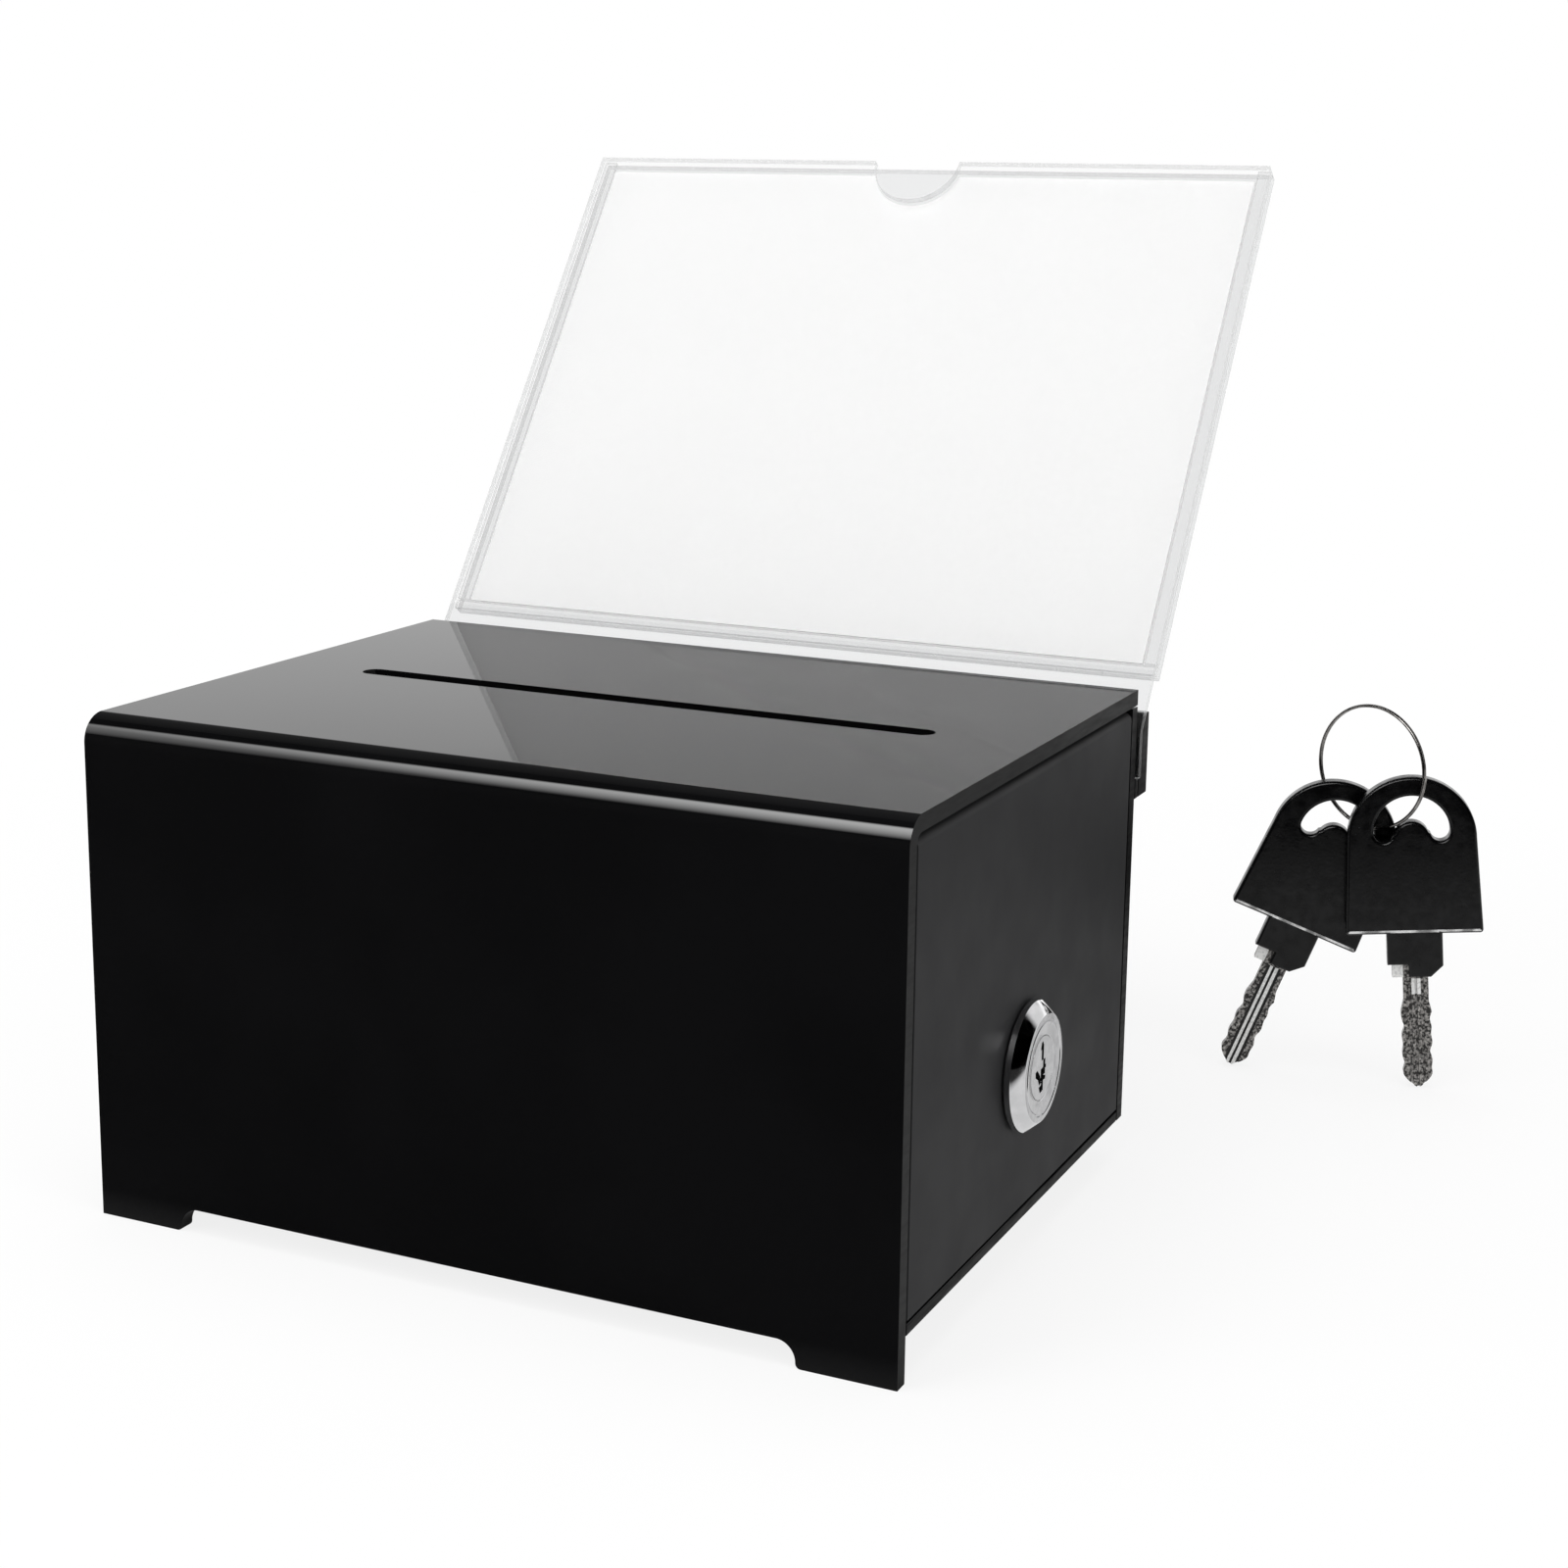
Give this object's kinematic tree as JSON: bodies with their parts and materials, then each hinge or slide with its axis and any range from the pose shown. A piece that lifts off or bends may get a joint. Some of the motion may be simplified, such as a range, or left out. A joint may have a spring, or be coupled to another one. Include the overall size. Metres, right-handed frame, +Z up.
{
  "type": "collection box",
  "caption": "Countertop collection box with a bill slot, a locking side door, a leaning clear sign holder and a ring of keys.",
  "frame": {"origin": "bottom centre of the whole object's box, keys included, on the surface it stands on", "axes": "+Z up, +X towards the lock side, +Y towards the sign holder at the back"},
  "size_m": [0.2158, 0.1944, 0.1926],
  "materials": {
    "black_acrylic": "polished black sheet",
    "clear_acrylic": "polished clear acrylic sheet",
    "white_card": "blank white card",
    "bright_chrome": "bright chrome plate",
    "plain_steel": "plain zinc plated steel",
    "ring_steel": "bright steel wire",
    "key_plastic": "moulded black plastic with a satin gloss",
    "key_nickel": "worn nickel plated brass"
  },
  "bodies": {
    "box": {"front_top_sheet": "black_acrylic", "left_wall": "black_acrylic", "back_wall": "black_acrylic", "bottom_panel": "black_acrylic", "door_keeper": "black_acrylic", "sign_bracket_plate": "black_acrylic", "sign_bracket_spacer": "black_acrylic", "hinge_pin_front": "plain_steel", "hinge_pin_rear": "plain_steel", "key_a_bow": "key_plastic", "key_a_blade": "key_nickel", "key_b_bow": "key_plastic", "key_b_blade": "key_nickel", "key_ring": "ring_steel"},
    "door": {"side_door": "black_acrylic", "lock_housing": "bright_chrome", "lock_nut": "plain_steel", "lock_washer": "plain_steel"},
    "lock_core": {"lock_plug": "bright_chrome", "lock_cam": "plain_steel", "cam_washer": "plain_steel", "cam_screw": "plain_steel"},
    "sign_holder": {"sign_front_sheet": "clear_acrylic", "sign_back_sheet": "clear_acrylic", "sign_side_spacer_left": "clear_acrylic", "sign_side_spacer_right": "clear_acrylic", "sign_bottom_spacer": "clear_acrylic"},
    "card": {"insert_card": "white_card"}
  },
  "joints": [
    {"name": "door_swing", "type": "hinge", "parent": "box", "child": "door", "pos_m": [0.05013, -0.04024, 0.08863], "axis": [0, -1, 0], "range_deg": [0, 90]},
    {"name": "lock_turn", "type": "hinge", "parent": "door", "child": "lock_core", "pos_m": [0.05163, -0.04174, 0.0372], "axis": [-1, 0, 0], "range_deg": [0, 90]},
    {"name": "sign_lift", "type": "slide", "parent": "box", "child": "sign_holder", "axis": [0, 0, 1], "range_m": [0, 0.018]},
    {"name": "card_slide", "type": "slide", "parent": "sign_holder", "child": "card", "axis": [0, 0.5807, 0.8141], "range_m": [0, 0.1]}
  ]
}
